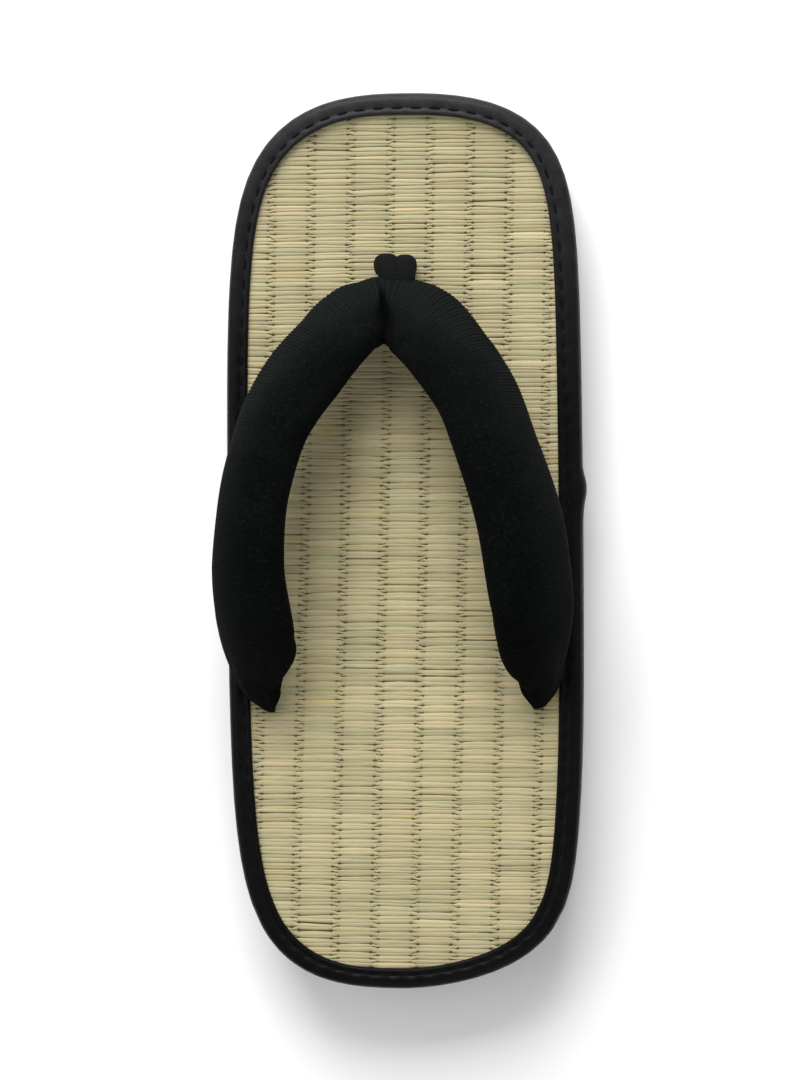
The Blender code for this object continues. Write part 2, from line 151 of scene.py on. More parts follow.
def ray_tree(node):
    """A solid made ready for casting rays at it."""
    copy = sewn_copy(node)
    tree = bvhtree.BVHTree.FromBMesh(copy)
    copy.free()
    return tree


def height_under(tree, x, y):
    """The height where a ray cast down meets a solid, or None."""
    hit = tree.ray_cast(Vector((x, y, RAY_START)), Vector((0, 0, -1)))[0]
    return None if hit is None else hit.z


mat_tree = ray_tree("rush_mat")
bed_y = np.linspace(HEEL_TIP + MAT_TIP, TOE_TIP - MAT_TIP, BED_STEPS)
bed_rays = [height_under(mat_tree, CLEAR_OF_HOLES * edge_x(y, 1), y) for y in bed_y]
met = np.array([height is not None for height in bed_rays])
bed_z = np.array([height for height in bed_rays if height is not None])
bed_y = bed_y[met]


def footbed(y):
    """Height of the mat's upper face at a place along the sole."""
    return np.interp(y, bed_y, bed_z)


print(f"footbed: {bed_z.max() / MM:.1f} mm at its highest, {bed_z.min() / MM:.1f} mm at its lowest")

# %% [markdown]
# ## Camera, floor and light
# The photograph is taken from above and about four degrees from the sandal's medial side. The
# camera stands in that same place, about 80 cm up, aims at the sandal's middle and is rolled so
# that the toe points up. The light comes from a wide soft panel beyond the toe, which draws the
# thin shadow line under every rush, from three weaker ones and from a pale surround.

# %% Camera
CAMERA_PLACE = Vector((58.6 * MM, 0, 802 * MM))
CAMERA_TARGET = Vector((0.5 * MM, 0, 22 * MM))
LENS = 88

camera = bpy.data.cameras.new("camera")
camera.lens = LENS
camera.clip_start = 0.02
watcher = bpy.data.objects.new("camera", camera)
back = (CAMERA_PLACE - CAMERA_TARGET).normalized()
right = Vector((0, 1, 0)).cross(back).normalized()
up = back.cross(right)
watcher.matrix_world = Matrix.Translation(CAMERA_PLACE) @ Matrix((right, up, back)).transposed().to_4x4()
bpy.context.scene.collection.objects.link(watcher)
bpy.context.scene.camera = watcher
print(f"camera: {math.degrees(back.angle(Vector((0, 0, 1)))):.1f} degrees off the vertical")

# %% Light
PANELS = (
    # name, place, power in watts
    ("toe_panel", (-0.20, 1.15, 0.90), 30.5),
    ("lateral_panel", (-1.10, 0.20, 1.00), 4.0),
    ("medial_panel", (1.10, 0.20, 1.00), 2.0),
    ("heel_panel", (0.25, -1.10, 0.85), 3.5),
)
PANEL_SIZE = 1.0
SURROUND = 0.37

for name, place, power in PANELS:
    panel = bpy.data.lights.new(name, "AREA")
    panel.shape = "SQUARE"
    panel.size = PANEL_SIZE
    panel.energy = power
    lamp = bpy.data.objects.new(name, panel)
    lamp.location = place
    lamp.rotation_euler = (-Vector(place)).to_track_quat("-Z", "Y").to_euler()
    bpy.context.scene.collection.objects.link(lamp)
world = bpy.data.worlds.new("surround")
world.use_nodes = True
world.node_tree.nodes["Background"].inputs["Color"].default_value = (1, 1, 1, 1)
world.node_tree.nodes["Background"].inputs["Strength"].default_value = SURROUND
bpy.context.scene.world = world
bpy.context.scene.view_settings.view_transform = "Standard"
print(f"light: {len(PANELS)} soft panels and a surround of {SURROUND}")

# %% [markdown]
# ## Writing shaders as sums
# A pattern such as a weave is a sum of a few waves and some noise. Written node by node it is
# hard to read, so a small class wraps a socket and turns Python's own operators into Math
# nodes. Every other node comes from one method that sets its options and then its sockets.

# %% A socket that can be added and multiplied
class Wire:
    """A number that varies over a surface."""

    def __init__(self, finish, socket):
        self.finish = finish
        self.socket = socket

    def __add__(self, other):
        return self.finish.math("ADD", self, other)

    def __sub__(self, other):
        return self.finish.math("SUBTRACT", self, other)

    def __mul__(self, other):
        return self.finish.math("MULTIPLY", self, other)

    def __pow__(self, other):
        return self.finish.math("POWER", self, other)


# %% A material that makes its own nodes
class Finish:
    """A material, and the means to paint it with nodes."""

    def __init__(self, name, **constants):
        self.material = bpy.data.materials.new(name)
        self.material.use_nodes = True
        self.tree = self.material.node_tree
        self.shader = self.tree.nodes["Principled BSDF"]
        for socket, value in constants.items():
            self.shader.inputs[socket.replace("_", " ")].default_value = value

    def node(self, kind, settings=None, sockets=None, output=0):
        """Any node: its settings come first, then the values or wires of its sockets."""
        made = self.tree.nodes.new(kind)
        for name, value in (settings or {}).items():
            if name == "stops":
                ramp = made.color_ramp.elements
                while len(ramp) < len(value):
                    ramp.new(1.0)
                for stop, (place, colour) in zip(ramp, value):
                    stop.position = place
                    stop.color = colour
            else:
                setattr(made, name, value)
        for socket, value in (sockets or {}).items():
            if isinstance(value, Wire):
                self.tree.links.new(value.socket, made.inputs[socket])
            else:
                made.inputs[socket].default_value = value
        return Wire(self, made.outputs[output])

    def math(self, operation, *values):
        return self.node("ShaderNodeMath", {"operation": operation}, dict(enumerate(values)))

    def mix(self, factor, low, high, how="MIX"):
        settings = {"data_type": "RGBA", "blend_type": how}
        return self.node("ShaderNodeMix", settings, {0: factor, 6: low, 7: high}, output=2)

    def place(self):
        return self.node("ShaderNodeTexCoord", output="Object")

    def carried(self, name, output):
        """What every vertex of the piece carries under a name."""
        return self.node("ShaderNodeAttribute", {"attribute_name": name}, output=output)

    def mapped(self, vector, scale):
        return self.node("ShaderNodeMapping", None, {"Vector": vector, "Scale": scale})

    def noise(self, vector, scale, detail=2.0, rough=0.5):
        sockets = {"Vector": vector, "Scale": scale, "Detail": detail, "Roughness": rough}
        return self.node("ShaderNodeTexNoise", None, sockets)

    def apart(self, vector):
        """The three numbers of a vector."""
        return [self.node("ShaderNodeSeparateXYZ", None, {0: vector}, axis) for axis in range(3)]

    def stretch(self, value, low, high, start=0.0, end=1.0):
        """Value between low and high, made to run from start to end and held there."""
        sockets = {"Value": value, "From Min": low, "From Max": high, "To Min": start, "To Max": end}
        return self.node("ShaderNodeMapRange", {"clamp": True}, sockets)

    def paint(self, **wires):
        for socket, wire in wires.items():
            self.tree.links.new(wire.socket, self.shader.inputs[socket.replace("_", " ")])

    def bump(self, height, depth, under=None):
        """Relief from a height of 0 to 1 that stands depth high."""
        sockets = {"Height": height, "Distance": depth, "Strength": 1.0}
        if under:
            sockets["Normal"] = under
        return self.node("ShaderNodeBump", None, sockets)


def grey(value):
    """A grey with the fourth number that Blender's colours have."""
    return (value, value, value, 1.0)


# %% Floor
FLOOR_HALF = 3.0

floor_finish = Finish("pale_floor", Roughness=0.9, Base_Color=grey(0.94))
floor_mesh = bmesh.new()
bmesh.ops.create_grid(floor_mesh, x_segments=1, y_segments=1, size=FLOOR_HALF)
floor_data = bpy.data.meshes.new("floor")
floor_mesh.to_mesh(floor_data)
floor_mesh.free()
floor_data.materials.append(floor_finish.material)
floor = bpy.data.objects.new("floor", floor_data)
bpy.context.scene.collection.objects.link(floor)
print("floor: one pale plane at height 0")

# %% [markdown]
# ## A sleeve, the start of most pieces
# Binding, strap, cord and each rush are all long tubes. Each starts as an upright cylinder that
# is cut into rows, and then every vertex is moved to its place by its turn round the sleeve and
# its row along it. A last helper makes the object, faces outward, and gives it to the frame.

# %% The sleeve
def sleeve(sides, rows, caps=True):
    """A cut cylinder, with each vertex's side number and row number."""
    mesh = bmesh.new()
    bmesh.ops.create_cone(
        mesh, cap_ends=caps, segments=sides, radius1=1.0, radius2=1.0, depth=1.0
    )
    upright = [edge for edge in mesh.edges if abs(edge.verts[0].co.z - edge.verts[1].co.z) > 0.5]
    bmesh.ops.subdivide_edges(mesh, edges=upright, cuts=rows - 2, use_grid_fill=True)
    where = np.array([vert.co for vert in mesh.verts])
    turn = np.arctan2(-where[:, 0], where[:, 1]) / math.tau % 1.0
    side = np.rint(turn * sides).astype(int) % sides
    row = np.rint((where[:, 2] + 0.5) * (rows - 1)).astype(int)
    return mesh, side, row


def move_to(mesh, points):
    for vert, point in zip(mesh.verts, points):
        vert.co = point


# %% Its own pattern map, and joining sleeves
def lay_out(mesh, name, across, along, seam):
    """A UV map in metres: across runs round the piece and jumps by seam where it closes."""
    layer = mesh.loops.layers.uv.new(name)
    mesh.verts.index_update()
    for face in mesh.faces:
        values = [across[loop.vert.index] for loop in face.loops]
        wraps = max(values) - min(values) > seam / 2
        for loop, value in zip(face.loops, values):
            shifted = value + seam if wraps and value < seam / 2 else value
            loop[layer].uv = (shifted, along[loop.vert.index])


def face_outward(mesh):
    """Every face of a closed piece looks outward; on a thin rod the first guess may be wrong."""
    bmesh.ops.recalc_face_normals(mesh, faces=mesh.faces)
    if mesh.calc_volume(signed=True) < 0:
        bmesh.ops.reverse_faces(mesh, faces=mesh.faces)


def added(mesh, part):
    """Lay a finished part into a larger bmesh."""
    face_outward(part)
    data = bpy.data.meshes.new("part")
    part.to_mesh(data)
    part.free()
    mesh.from_mesh(data)
    bpy.data.meshes.remove(data)


# %% Handing a piece over
def hand_over(mesh, name, finish, stands_for=(), outward=True):
    """Make the bmesh an object that rides on the frame."""
    if outward:
        face_outward(mesh)
    data = bpy.data.meshes.new(name)
    mesh.to_mesh(data)
    mesh.free()
    data.materials.append(finish.material)
    data.shade_smooth()
    piece = bpy.data.objects.new(name, data)
    bpy.context.scene.collection.objects.link(piece)
    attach(piece, "root")
    if stands_for:
        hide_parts(*stands_for)
    triangles = sum(len(face.vertices) - 2 for face in data.polygons)
    print(f"{name}: {triangles} triangles")
    return piece


# %% [markdown]
# ## The rush mat
# The footbed is woven rush. Long rushes cross the sole from side to side, and pairs of hidden
# threads run from heel to toe about 12 mm apart. Between two threads the rushes lie in pairs
# that swell into little bars. Beside a thread they are pinched, and beyond it each rush changes
# partner, so the bars of neighbouring columns are set like bricks, with a dark dot where two
# bars part. A bump map could fake this, but the dots are real gaps and the mat is most of the
# picture, so every rush is a real rod that follows this rule, over a darker backing.

# %% Where the threads and rushes lie
from collections import namedtuple

COLUMN = 11.8 * MM
COLUMNS = 12
# the place and lean of one thread, and how many columns lie on its lateral side
THREAD_X = -31.0 * MM
THREAD_Y = -73.0 * MM
THREAD_LEAN = 0.0192
COLUMNS_BESIDE = 3
RUSH_BREADTH = 1.16 * MM
RUSH_SEED = 11
MAT_INSET = 2.3 * MM

Draw = namedtuple("Draw", "middle spread low high")
# a rush's breadth, as a share of the usual one
BREADTHS = Draw(1.0, 0.26, 0.55, 1.6)

chance = np.random.default_rng(RUSH_SEED)


def drawn(draw, shape=None):
    """Random numbers round a middle, held between a lowest and a highest."""
    return np.clip(chance.normal(draw.middle, draw.spread, shape), draw.low, draw.high)


breadths = []
while sum(breadths) < TOE_TIP - HEEL_TIP - 2 * MAT_INSET - 2 * RUSH_BREADTH:
    breadths.append(RUSH_BREADTH * float(drawn(BREADTHS)))
rush_edges = HEEL_TIP + MAT_INSET + RUSH_BREADTH + np.concatenate([[0.0], np.cumsum(breadths)])
RUSHES = len(breadths)
print(f"mat: room for {RUSHES} rushes")


def thread_x(y):
    """Where the first thread lies at a place along the sole."""
    return THREAD_X + THREAD_LEAN * (y - THREAD_Y) - COLUMNS_BESIDE * COLUMN


# %% [markdown]
# ### The rule of the weave
# A rush is a rod with a bottom line and five lines on top. In a bar its inner side touches its
# partner, its outer side faces the next bar, and its top follows the bar's soft swelling. The
# table says, for each place between two threads, how far bars part there, how deep the rushes
# are pulled in and how much of the swelling shows.

# %% The table of the weave
PINCH = 0.24 * MM

Place = namedtuple("Place", "offset part sink swell")
PLACES = (
    Place(0.35 * MM, 0.15 * MM, 0.13 * MM, 0.0),
    Place(1.05 * MM, 0.46 * MM, PINCH, 0.7),
    Place(0.15 * COLUMN, -0.06 * MM, 0.05 * MM, 0.9),
    Place(0.50 * COLUMN, -0.22 * MM, 0.0, 0.55),
    Place(0.85 * COLUMN, -0.06 * MM, 0.05 * MM, 0.9),
    Place(COLUMN - 1.05 * MM, 0.46 * MM, PINCH, 0.7),
    Place(COLUMN - 0.35 * MM, 0.15 * MM, 0.13 * MM, 0.0),
)
print(f"weave: {len(PLACES)} places from one thread to the next")

# %% What chance adds to every bar
# added to the gap beside a bar, in mm, and what the table's parting is multiplied by
OPENINGS = Draw(-0.04, 0.08, -0.20, 0.14)
PARTINGS = Draw(0.90, 0.35, 0.20, 1.60)
LONG_GAPS = 0.11
LONG_GAP = 0.42 * MM
BAR_SHADES = 0.24
RUSH_SHADES = 0.20
BAR_LIFT = 0.04 * MM
WANDER = 0.15 * MM

cells = (COLUMNS, RUSHES + 3)
opening = drawn(OPENINGS, cells) * MM
opening += np.where(chance.random(cells) < LONG_GAPS, LONG_GAP, 0.0)
cell_part = drawn(PARTINGS, cells)
cell_shade = chance.normal(0.5, BAR_SHADES, cells)
cell_hue = chance.random(cells)
cell_lift = chance.normal(0.0, BAR_LIFT, cells)
wander_start = chance.normal(0.0, WANDER, cells)
wander_end = chance.normal(0.0, WANDER, cells)
rush_shade = chance.normal(0.5, RUSH_SHADES, RUSHES)
rush_hue = chance.random(RUSHES)
print(f"weave: long gaps beside {np.mean(opening > OPENINGS.high * MM):.0%} of the bars")

# %% The route of one rush
LAP = 0.10 * MM
END_CLEARANCE = 0.5 * MM
OWN_HUE = 0.4
OWN_TONE = 0.5


def side_line(index, column, share):
    """Where the line between two rushes lies in a column; it slants and differs by column."""
    index = min(max(index, 0), RUSHES)
    wander = wander_start[column, index] * (1 - share) + wander_end[column, index] * share
    return rush_edges[index] + wander


def rush_route(number):
    """Stations of one rush: x, lower and upper side, bar's middle and half, sink, swell, shades."""
    y = (rush_edges[number] + rush_edges[number + 1]) / 2
    left = edge_x(y, -1, MAT_INSET)
    right = edge_x(y, 1, MAT_INSET)
    found = []
    for column in range(COLUMNS):
        pair = (number + column % 2) // 2
        partner_above = (number + column) % 2 == 0
        first = number if partner_above else number - 1
        for place in PLACES:
            x = thread_x(y) + column * COLUMN + place.offset
            if not left + END_CLEARANCE < x < right - END_CLEARANCE:
                continue
            share = place.offset / COLUMN
            low, high = (side_line(number + step, column, share) for step in (0, 1))
            bar_low, bar_high = (side_line(first + step, column, share) for step in (0, 2))
            part = place.part * cell_part[column, pair] + opening[column, pair]
            if place.swell == 0:
                sides = (low + place.part / 2, high - place.part / 2)
            elif partner_above:
                sides = (low + part / 2, high + LAP)
            else:
                sides = (low - LAP, high - part / 2)
            bar = ((bar_low + bar_high) / 2, (bar_high - bar_low) / 2)
            sink = place.sink - cell_lift[column, pair] * place.swell
            hue = OWN_HUE * rush_hue[number] + (1 - OWN_HUE) * cell_hue[column, pair]
            tone = OWN_TONE * rush_shade[number] + (1 - OWN_TONE) * cell_shade[column, pair]
            found.append((x, *sides, *bar, sink, place.swell, tone, hue))
    return np.array([(left, *found[0][1:]), *found, (right, *found[-1][1:])])


# %% Weaving the rushes
CREST = 0.12 * MM
SWELL = 0.17 * MM
SWELL_ROUNDNESS = 2.6
RIPPLE = 0.05 * MM
WOBBLE = 0.03 * MM
# across the rush from -1 to 1, and height over its edge line in mm
SECTION = ((1.0, -0.10), (0.62, 0.0), (0.0, 0.02), (-0.62, 0.0), (-1.0, -0.10), (0.0, -0.95))

section = np.array(SECTION)
whole = bmesh.new()
rush_tones_and_shade = []
for number in range(RUSHES):
    y = (rush_edges[number] + rush_edges[number + 1]) / 2
    if edge_x(y, 1, MAT_INSET) - edge_x(y, -1, MAT_INSET) < COLUMN:
        continue
    route = rush_route(number)
    rod, side, row = sleeve(len(SECTION), len(route))
    x, low, high, bar_middle, bar_half, sink, swell, tone, hue = route[row].T
    across, rise = section[side].T
    wobble = chance.normal(0.0, WOBBLE, len(route))[row]
    out_y = (low + high) / 2 + wobble + across * (high - low) / 2
    in_bar = np.clip(np.abs(out_y - bar_middle) / bar_half, 0, 1)
    fall = SWELL * swell * in_bar**SWELL_ROUNDNESS + RIPPLE * across**2
    out_z = footbed(y) + CREST - sink - fall + rise * MM
    move_to(rod, np.stack([x, out_y, out_z], axis=1))
    added(whole, rod)
    # the last two numbers are masks for painted shade: on the sloping sides of a bar, and where a thread
    # pulls the rush down
    rush_tones_and_shade.append(np.stack([tone, hue, in_bar * swell, sink / PINCH], axis=1))
print(f"weave: {len(rush_tones_and_shade)} rushes laid")

# %% [markdown]
# ### The colour of dried rush
# Every rush has dried to its own shade, from straw to a greyish green, with a few pinkish and
# yellow ones, and the shade drifts slowly along it. Each vertex carries its rush's draw, and
# fine streaks run along the fibre. Where a thread pinches the mat, and on the sloping sides of
# each bar, the colour is darkened: painted shade of those hollows.

# %% Rush finish
rush_finish = Finish("dried_rush", Roughness=0.62, Specular_IOR_Level=0.3)
strand, hue, beside = rush_finish.apart(rush_finish.carried("rush", "Color"))
pinched = rush_finish.carried("rush", "Alpha")
here = rush_finish.place()
slow = rush_finish.noise(rush_finish.mapped(here, (90, 700, 90)), 1.0, 2.0)
fibre = rush_finish.noise(rush_finish.mapped(here, (170, 6000, 1500)), 1.0, 3.0, 0.6)
HUES = (
    (0.00, (0.380, 0.330, 0.178, 1)),
    (0.28, (0.405, 0.355, 0.196, 1)),
    (0.42, (0.382, 0.352, 0.198, 1)),
    (0.54, (0.425, 0.372, 0.215, 1)),
    (0.66, (0.422, 0.350, 0.196, 1)),
    (0.74, (0.376, 0.352, 0.206, 1)),
    (0.86, (0.425, 0.350, 0.155, 1)),
    (1.00, (0.440, 0.398, 0.255, 1)),
)
straw = rush_finish.node("ShaderNodeValToRGB", {"stops": HUES}, {"Fac": hue * 0.8 + slow * 0.2})
light = strand * 0.40 + slow * 0.30 + fibre * 0.30 + 0.48
# painted shade: darker where a thread pulls the rushes down and on the sloping sides of each bar
shaded = light - pinched * 0.10 - beside**3 * 0.08
lit = rush_finish.node("ShaderNodeCombineColor", None, {0: shaded, 1: shaded, 2: shaded})
rush_finish.paint(
    Base_Color=rush_finish.mix(1.0, straw, lit, "MULTIPLY"),
    Roughness=rush_finish.stretch(fibre, 0.3, 0.7, 0.52, 0.74),
    Normal=rush_finish.bump(fibre, 0.07 * MM),
)

weave = hand_over(whole, "rush_mat_weave", rush_finish, ("rush_mat",), outward=False)
attribute = weave.data.attributes.new("rush", "FLOAT_COLOR", "POINT")
attribute.data.foreach_set("color", np.concatenate(rush_tones_and_shade).astype(np.float32).ravel())

# %% [markdown]
# ### The backing
# Between the rushes a darker underside shows. A copy of the mat's solid does for it: only its
# upper face is lowered, so that it stays clear of the rushes and keeps the holes.

# %% The backing under the rushes
BACKING_SINK = 0.62 * MM
TOP_LAYER = 1.0 * MM

backing_finish = Finish("rush_backing", Roughness=0.85, Base_Color=(0.13, 0.105, 0.05, 1))
coarse = backing_finish.noise(backing_finish.mapped(backing_finish.place(), (300, 2500, 300)), 1.0)
backing_finish.paint(
    Base_Color=backing_finish.mix(coarse, (0.11, 0.085, 0.040, 1), (0.24, 0.19, 0.10, 1)),
    Normal=backing_finish.bump(coarse, 0.1 * MM),
)
backing = sewn_copy("rush_mat")
for vert in backing.verts:
    if vert.co.z > footbed(vert.co.y) - TOP_LAYER:
        vert.co.z -= BACKING_SINK
hand_over(backing, "rush_mat_backing", backing_finish)

# %% [markdown]
# ## The edge binding
# A strip of black vinyl is folded over the edge and sewn down. On top it is a soft roll from
# the outer edge to a stitched valley, and beyond the valley a narrow bead lies against the mat.
# The solid has this section in few steps. Here the same roll is swept with many, as a sleeve
# whose long way runs round the sole: its width is measured on the solid with rays, so that the
# lapped ends on the medial side bulge where they do there.

# %% Measuring the binding
FLANGE_LEAST = 3.0 * MM
FLANGE_MOST = 10.0 * MM
HALVINGS = 9
WALL_DEPTH = 4.0 * MM
STAND_OFF = 20.0 * MM

binding_tree = ray_tree("edge_binding")


def flange_at(index):
    """How far in the binding reaches over the mat, found by halving."""
    near, far = FLANGE_LEAST, FLANGE_MOST
    for _ in range(HALVINGS):
        middle = (near + far) / 2
        place = EDGE[index] - OUTWARD[index] * middle
        reached = height_under(binding_tree, *place) is not None
        near, far = (middle, far) if reached else (near, middle)
    return near


def bulge_at(index):
    """How far the binding's outer wall stands out from the sole's edge."""
    place = EDGE[index] + OUTWARD[index] * STAND_OFF
    start = Vector((*place, footbed(EDGE[index, 1]) - WALL_DEPTH))
    hit = binding_tree.ray_cast(start, Vector((*-OUTWARD[index], 0)))
    return STAND_OFF - hit[3] if hit[0] else 0.0


def smoothed(values, reach):
    """Each value averaged with its neighbours round the edge."""
    weights = np.hanning(2 * reach + 3)[1:-1]
    wrapped = np.concatenate([values[-reach:], values, values[:reach]])
    return np.convolve(wrapped, weights / weights.sum(), mode="valid")


# the strip is a little broader on the lateral side, from here to there across the sole
LATERAL_EXTRA = 0.6 * MM
LATERAL_FROM = 15 * MM
LATERAL_TO = 40 * MM

flange = smoothed(np.array([flange_at(index) for index in range(EDGE_POINTS)]), reach=8)
flange += LATERAL_EXTRA * smooth_step(-EDGE[:, 0], LATERAL_FROM, LATERAL_TO)
bulge = smoothed(np.array([bulge_at(index) for index in range(EDGE_POINTS)]), reach=3)
print(f"binding: {flange.min() / MM:.1f} to {flange.max() / MM:.1f} mm wide")
print(f"binding: its lap stands {bulge.max() / MM:.1f} mm out")

# %% The section of the roll
# share of the binding's width, from the outer edge in, and height over the mat in mm
Fold = namedtuple("Fold", "across rise")
FOLDS = (
    Fold(0.00, -7.2),
    Fold(0.00, -5.0),
    Fold(0.00, -2.6),
    Fold(0.005, -1.30),
    Fold(0.03, -0.45),
    Fold(0.08, 0.35),
    Fold(0.15, 0.95),
    Fold(0.24, 1.38),
    Fold(0.35, 1.62),
    Fold(0.47, 1.66),
    Fold(0.58, 1.56),
    Fold(0.66, 1.38),
    Fold(0.70, 1.28),
    Fold(0.74, 1.34),
    Fold(0.80, 1.58),
    Fold(0.87, 1.72),
    Fold(0.94, 1.58),
    Fold(0.985, 1.15),
    Fold(1.00, 0.32),
)
print(f"binding: {len(FOLDS)} folds from the foot of its wall to the mat")

# %% Rolling the binding
WALL = 1.2 * MM
INNER_RISE = 0.3 * MM
LAP_LIFT = 0.5
STITCH_ACROSS = 0.70
STITCH_PITCH = 5.8 * MM
STITCH_LENGTH = 3.5 * MM
STITCH_EASE = 1.25
PUCKER = 0.38 * MM
PUCKER_REACH = 0.11

stitch_count = round(EDGE_LENGTH / STITCH_PITCH)
around = np.arange(EDGE_POINTS) / EDGE_POINTS * stitch_count
from_stitch = np.abs(around % 1.0 - 0.5) * 2 * STITCH_PITCH / STITCH_LENGTH
in_stitch = np.clip(STITCH_EASE - from_stitch, 0, 1)
bed_edge = footbed(EDGE[:, 1])
rings = []
for fold in FOLDS:
    valley = math.exp(-(((fold.across - STITCH_ACROSS) / PUCKER_REACH) ** 2))
    inset = flange * fold.across - bulge * (1 - fold.across)
    place = EDGE - OUTWARD * inset[:, None]
    lift = LAP_LIFT * bulge * min(1.0, 4 * fold.across) * (1 - fold.across)
    height = bed_edge + fold.rise * MM + lift - PUCKER * valley * in_stitch
    rings.append(np.column_stack([place, height]))
inner = EDGE - OUTWARD * WALL
rings.append(np.column_stack([inner, bed_edge + INNER_RISE]))
rings.append(np.column_stack([inner, bed_edge + FOLDS[0].rise * MM]))
rings = np.array(rings)
print(f"binding: puckered by {stitch_count} stitches")

# %% [markdown]
# ### Vinyl
# The vinyl has a fine pebbled grain and a satin gloss that is brightest on the roll towards the
# light. Towards the toe a painted sheen lightens its colour to a dull grey.

# %% Vinyl finish
# along the sole, from here to there the painted sheen grows towards the toe
TOE_SHEEN_FROM = 30 * MM
TOE_SHEEN_TO = 130 * MM

vinyl_finish = Finish("black_vinyl", Roughness=0.36, Specular_IOR_Level=0.06)
here = vinyl_finish.place()
grain = vinyl_finish.node("ShaderNodeTexVoronoi", None, {"Vector": here, "Scale": 1900.0})
soft = vinyl_finish.noise(here, 260.0, 3.0)
rub_and_sheen = vinyl_finish.noise(here, 1100.0, 4.0, 0.7)
toward_toe = vinyl_finish.stretch(vinyl_finish.apart(here)[1], TOE_SHEEN_FROM, TOE_SHEEN_TO)
# painted sheen: the colour turns a lighter grey towards the toe, standing in for the reflection there
painted_toe_sheen = toward_toe**1.8 * (rub_and_sheen * 0.6 + soft * 0.5)
black = vinyl_finish.mix(soft, (0.0018, 0.0018, 0.0021, 1), (0.0048, 0.0048, 0.0053, 1))
vinyl_finish.paint(
    Base_Color=vinyl_finish.mix(painted_toe_sheen, black, (0.044, 0.044, 0.047, 1)),
    Roughness=vinyl_finish.stretch(soft + rub_and_sheen * 0.4, 0.4, 1.0, 0.30, 0.44),
    Normal=vinyl_finish.bump(grain, 0.035 * MM, vinyl_finish.bump(soft, 0.25 * MM)),
)

# %% The binding's mesh
binding, side, row = sleeve(EDGE_POINTS, len(rings), caps=False)
move_to(binding, rings[row, side])
ends = [edge for edge in binding.edges if edge.is_boundary]
bmesh.ops.bridge_loops(binding, edges=ends)
hand_over(binding, "edge_binding_vinyl", vinyl_finish, ("edge_binding",))

# %% [markdown]
# ### The stitches
# Black thread sinks into the valley, a stitch of 3.5 mm and a gap of 2.3 mm. One stitch is a
# short round rod with tapering ends that dive into their needle holes, and the same rod is laid
# again for every stitch round the edge.

# %% Thread finish
thread_finish = Finish("black_thread", Roughness=0.7, Specular_IOR_Level=0.08)
twist = thread_finish.node(
    "ShaderNodeTexWave",
    {"wave_type": "BANDS", "bands_direction": "DIAGONAL"},
    {"Vector": thread_finish.place(), "Scale": 1400.0, "Distortion": 1.0},
)
thread_finish.paint(
    Base_Color=thread_finish.mix(twist, grey(0.0015), grey(0.0055)),
    Normal=thread_finish.bump(twist, 0.05 * MM),
)

# %% Sewing
THREAD_RADIUS = 0.28 * MM
THREAD_SIDES = 8
# share of the stitch's length, share of the thread's radius, height over the valley in mm
StitchRow = namedtuple("StitchRow", "along round height")
STITCH_ROWS = (
    StitchRow(-0.56, 0.55, -0.45),
    StitchRow(-0.48, 0.85, -0.10),
    StitchRow(-0.30, 1.00, 0.10),
    StitchRow(0.00, 1.00, 0.14),
    StitchRow(0.30, 1.00, 0.10),
    StitchRow(0.48, 0.85, -0.10),
    StitchRow(0.56, 0.55, -0.45),
)

valley_row = [fold.across for fold in FOLDS].index(STITCH_ACROSS)
valley_loop = rings[valley_row]
stitches = bmesh.new()
for number in range(stitch_count):
    centre = (number + 0.5) / stitch_count * EDGE_POINTS
    rod, side, row = sleeve(THREAD_SIDES, len(STITCH_ROWS))
    points = []
    for turn, at in zip(side, row):
        shape = STITCH_ROWS[at]
        along = centre + shape.along * STITCH_LENGTH / EDGE_LENGTH * EDGE_POINTS
        index, share = int(along) % EDGE_POINTS, along % 1.0
        spot = valley_loop[index] * (1 - share) + valley_loop[(index + 1) % EDGE_POINTS] * share
        angle = turn / THREAD_SIDES * math.tau
        radius = THREAD_RADIUS * shape.round
        out = OUTWARD[index] * math.cos(angle) * radius
        points.append(spot + np.array([*out, math.sin(angle) * radius + shape.height * MM]))
    move_to(rod, points)
    added(stitches, rod)
hand_over(stitches, "binding_stitches", thread_finish, outward=False)

# %% [markdown]
# ## The padded strap
# The strap is one tube of black cloth stuffed with padding, folded at the toe and held there by
# a short cord, its two ends drawn down through the mat. Padding pushes evenly outwards, so the
# cloth is simulated: a sleeve with the solid's own sections, made a little smaller, is blown up
# by pressure while its ends and the fold at the toe are held. Blender's cloth is made for
# larger things, so the sleeve is enlarged 16 times meanwhile. How far each point may swell is
# capped, so that the cloth ends near the solid. The sections are read from it ring by ring.

# %% The solid's sections
def solid_sections():
    """Centre, half-width vector and half-thickness vector of each ring of the strap."""
    mesh = sewn_copy("strap")
    low = min(vert.co.z for vert in mesh.verts if vert.co.x < 0)
    layer = {vert for vert in mesh.verts if vert.co.x < 0 and vert.co.z < low + SEWING_DISTANCE * 5}
    seen = set(layer)
    sections = []
    while layer:
        points = np.array([vert.co for vert in layer])
        centre = points.mean(axis=0)
        spread, axes = np.linalg.eigh(np.cov((points - centre).T, bias=True))
        broad = axes[:, 2] * math.sqrt(2 * spread[2])
        high = axes[:, 1] * math.sqrt(2 * spread[1])
        sections.append([centre, broad, high])
        ahead = {edge.other_vert(vert) for vert in layer for edge in vert.link_edges}
        layer = ahead - seen
        seen |= layer
    mesh.free()
    return sections


sections = solid_sections()
print(f"strap: {len(sections)} sections")

# %% Every section's broad side towards the toe or outwards
ROUND_ENOUGH = 1.2


def unit(vectors):
    return vectors / np.linalg.norm(vectors, axis=-1, keepdims=True)


